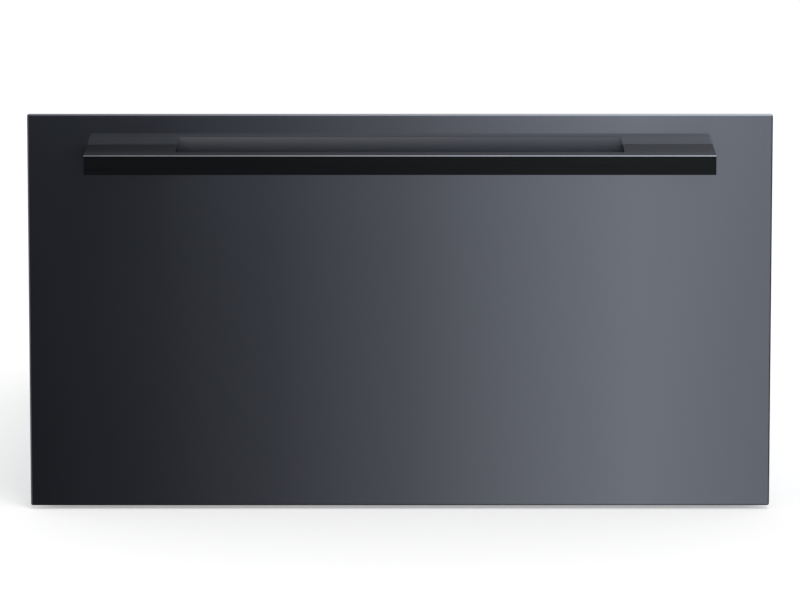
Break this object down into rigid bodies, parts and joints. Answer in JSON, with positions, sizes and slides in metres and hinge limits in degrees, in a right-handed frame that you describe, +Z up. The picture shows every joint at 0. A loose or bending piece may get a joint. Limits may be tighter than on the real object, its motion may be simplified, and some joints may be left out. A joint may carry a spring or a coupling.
{
  "type": "warming drawer",
  "caption": "Built-in warming drawer: dark mirror-glass front with a black bar handle, heated steel tub on telescopic runners, and a steel casing with a fan, heating element and controls.",
  "frame": {"origin": "on the surface that the feet stand on, in the middle of the overall width and depth", "axes": "+X to the right seen from the front, the glass front faces -Y, +Z up"},
  "size_m": [0.596, 0.58, 0.322],
  "materials": {
    "mirror_glass": "dark mirror-coated safety glass, polished",
    "clear_glass": "clear toughened glass",
    "black_aluminium": "black, brushed along its length",
    "galvanised_steel": "zinc-coated sheet, matt with a faint grain",
    "stainless_steel": "brushed sheet",
    "black_steel": "black powder coat",
    "runner_steel": "bright zinc",
    "cage_steel": "plain rolled strip with bright balls",
    "screw_steel": "bright zinc",
    "motor_steel": "plain sheet and laminations",
    "element_steel": "heat-tinted steel tube",
    "black_rubber": "matt",
    "silicone_mat": "matt, dark grey",
    "insulation": "mineral wool",
    "black_plastic": "fine texture",
    "knob_plastic": "satin",
    "pale_plastic": "plain moulding",
    "circuit_board": "green laminate with dark components",
    "lens": "amber, clear"
  },
  "bodies": {
    "casing": {"base_pan": "galvanised_steel", "left_side_panel": "galvanised_steel", "right_side_panel": "galvanised_steel", "back_panel": "galvanised_steel", "top_cover": "galvanised_steel", "ceiling_plate": "galvanised_steel", "ceiling_insulation": "insulation", "control_fascia": "black_steel", "control_tray": "black_plastic", "control_board": "circuit_board", "selector_switch": "black_plastic", "power_switch": "black_plastic", "indicator_lens": "lens", "rear_baffle": "stainless_steel", "tub_buffers": "black_rubber", "fan_chamber": "galvanised_steel", "fan_motor": "motor_steel", "motor_spacers": "black_rubber", "temperature_sensor": "screw_steel", "thermal_cutout": "black_plastic", "heat_reflector": "stainless_steel", "heating_element": "element_steel", "element_clips": "runner_steel", "terminal_block": "pale_plastic", "mains_inlet": "black_plastic", "rubber_feet": "black_rubber", "foot_screws": "screw_steel", "casing_screws": "screw_steel", "runner_screws": "screw_steel", "left_outer_rail": "runner_steel", "right_outer_rail": "runner_steel"},
    "drawer": {"front_glass": "mirror_glass", "front_carrier": "galvanised_steel", "front_liner": "stainless_steel", "front_insulation": "insulation", "door_seal": "black_rubber", "handle_bar": "black_aluminium", "left_handle_block": "black_aluminium", "right_handle_block": "black_aluminium", "handle_pads": "black_rubber", "handle_screws": "screw_steel", "drawer_tub": "stainless_steel", "glass_plate": "clear_glass", "plate_pads": "black_rubber", "anti_slip_mat": "silicone_mat", "left_inner_rail": "runner_steel", "right_inner_rail": "runner_steel", "tub_screws": "screw_steel"},
    "left_middle_rail": {"left_middle_rail": "runner_steel"},
    "right_middle_rail": {"right_middle_rail": "runner_steel"},
    "left_outer_cage": {"left_outer_cage": "cage_steel"},
    "right_outer_cage": {"right_outer_cage": "cage_steel"},
    "left_inner_cage": {"left_inner_cage": "cage_steel"},
    "right_inner_cage": {"right_inner_cage": "cage_steel"},
    "selector": {"selector_knob": "knob_plastic", "selector_spindle": "screw_steel"},
    "button": {"power_button": "knob_plastic"},
    "fan": {"fan_wheel": "motor_steel", "fan_shaft": "screw_steel"}
  },
  "joints": [
    {"name": "drawer_slide", "type": "slide", "parent": "casing", "child": "drawer", "axis": [0, -1, 0], "range_m": [0, 0.38]},
    {"name": "left_outer_cage_slide", "type": "slide", "parent": "casing", "child": "left_outer_cage", "axis": [0, -1, 0], "range_m": [0, 0.095]},
    {"name": "left_middle_rail_slide", "type": "slide", "parent": "casing", "child": "left_middle_rail", "axis": [0, -1, 0], "range_m": [0, 0.19]},
    {"name": "left_inner_cage_slide", "type": "slide", "parent": "casing", "child": "left_inner_cage", "axis": [0, -1, 0], "range_m": [0, 0.285]},
    {"name": "right_outer_cage_slide", "type": "slide", "parent": "casing", "child": "right_outer_cage", "axis": [0, -1, 0], "range_m": [0, 0.095]},
    {"name": "right_middle_rail_slide", "type": "slide", "parent": "casing", "child": "right_middle_rail", "axis": [0, -1, 0], "range_m": [0, 0.19]},
    {"name": "right_inner_cage_slide", "type": "slide", "parent": "casing", "child": "right_inner_cage", "axis": [0, -1, 0], "range_m": [0, 0.285]},
    {"name": "selector_turn", "type": "hinge", "parent": "casing", "child": "selector", "pos_m": [0.19, -0.195, 0.247], "axis": [0, 1, 0], "range_deg": [0, 270]},
    {"name": "power_press", "type": "slide", "parent": "casing", "child": "button", "axis": [0, 1, 0], "range_m": [0, 0.0015], "stiffness_N_per_m": 600},
    {"name": "fan_spin", "type": "hinge", "parent": "casing", "child": "fan", "pos_m": [0, 0.205, 0.13], "axis": [0, 1, 0], "continuous": true}
  ],
  "couplings": [
    {"joint": "left_outer_cage_slide", "follows": "drawer_slide", "ratio": 0.25},
    {"joint": "left_middle_rail_slide", "follows": "drawer_slide", "ratio": 0.5},
    {"joint": "left_inner_cage_slide", "follows": "drawer_slide", "ratio": 0.75},
    {"joint": "right_outer_cage_slide", "follows": "drawer_slide", "ratio": 0.25},
    {"joint": "right_middle_rail_slide", "follows": "drawer_slide", "ratio": 0.5},
    {"joint": "right_inner_cage_slide", "follows": "drawer_slide", "ratio": 0.75}
  ]
}
